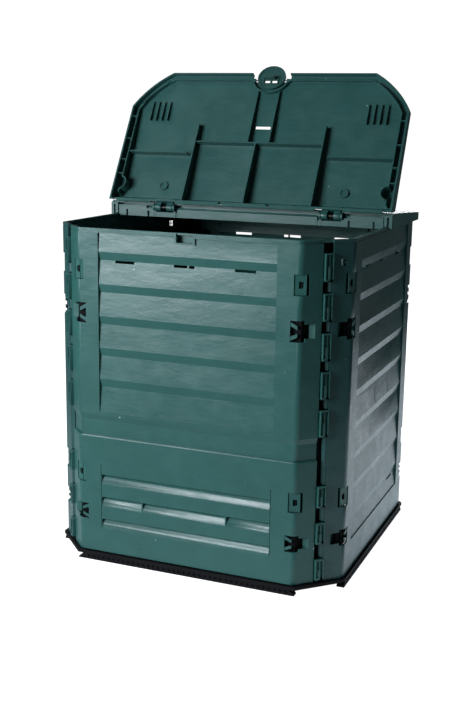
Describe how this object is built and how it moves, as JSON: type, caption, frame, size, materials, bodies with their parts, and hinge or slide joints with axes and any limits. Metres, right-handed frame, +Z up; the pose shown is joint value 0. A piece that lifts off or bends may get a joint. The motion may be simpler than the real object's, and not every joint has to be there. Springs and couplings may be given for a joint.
{
  "type": "compost bin",
  "caption": "Square panel-built garden compost bin with cut corners, a two-part lid with one half swung open, drop-down hatches low in front and back, and a slotted base.",
  "frame": {"origin": "centre of the centre foot's underside, on the ground in the middle of the base", "axes": "+Z up, -Y towards the front hatch and the lid half that is open, +X to the right seen from the front"},
  "size_m": [0.732, 0.733, 1.156],
  "materials": {
    "panel_green": "moulded dark green recycled plastic, fine horizontal streaks",
    "lid_green": "moulded dark green plastic, slightly darker than the walls",
    "clip_green": "moulded green plastic, a little lighter",
    "toggle_green": "moulded dark green plastic",
    "channel_black": "black plastic in deep shade",
    "pin_black": "black plastic",
    "base_black": "black recycled plastic, matt"
  },
  "bodies": {
    "root": {"base_centre_foot": "base_black", "base_grid_front_left": "base_black", "base_grid_front_right": "base_black", "base_grid_rear_left": "base_black", "base_grid_rear_right": "base_black", "base_joiners": "base_black", "corner_channel_front_left": "channel_black", "corner_channel_front_right": "channel_black", "corner_channel_rear_left": "channel_black", "corner_channel_rear_right": "channel_black", "corner_clips_front_left": "clip_green", "corner_clips_front_right": "clip_green", "corner_clips_rear_left": "clip_green", "corner_clips_rear_right": "clip_green", "corner_locks_front_left": "clip_green", "corner_locks_front_right": "clip_green", "corner_locks_rear_left": "clip_green", "corner_locks_rear_right": "clip_green", "front_hatch_pins": "pin_black", "front_hatch_sill": "base_black", "front_upper_panel": "panel_green", "left_side_panel": "panel_green", "lid_hinge_pins": "pin_black", "rear_hatch_pins": "pin_black", "rear_hatch_sill": "base_black", "rear_lid_half": "lid_green", "rear_upper_panel": "panel_green", "right_side_panel": "panel_green"},
    "front_lid": {"front_lid_half": "lid_green", "wind_lock_pins": "pin_black"},
    "wind_lock": {"wind_lock_toggle": "toggle_green"},
    "front_hatch": {"front_hatch": "panel_green"},
    "rear_hatch": {"rear_hatch": "panel_green"}
  },
  "joints": [
    {"name": "front_lid_hinge", "type": "hinge", "parent": "root", "child": "front_lid", "pos_m": [0, 0, 0.805], "axis": [1, 0, 0], "range_deg": [0, 120]},
    {"name": "wind_lock_rock", "type": "hinge", "parent": "front_lid", "child": "wind_lock", "pos_m": [0, 0.16314, 1.11957], "axis": [1, 0, 0], "range_deg": [0, 8]},
    {"name": "front_hatch_pivot", "type": "hinge", "parent": "root", "child": "front_hatch", "pos_m": [0, -0.346, 0.0452], "axis": [1, 0, 0], "range_deg": [0, 90]},
    {"name": "rear_hatch_pivot", "type": "hinge", "parent": "root", "child": "rear_hatch", "pos_m": [0, 0.346, 0.0452], "axis": [-1, 0, 0], "range_deg": [0, 90]}
  ]
}
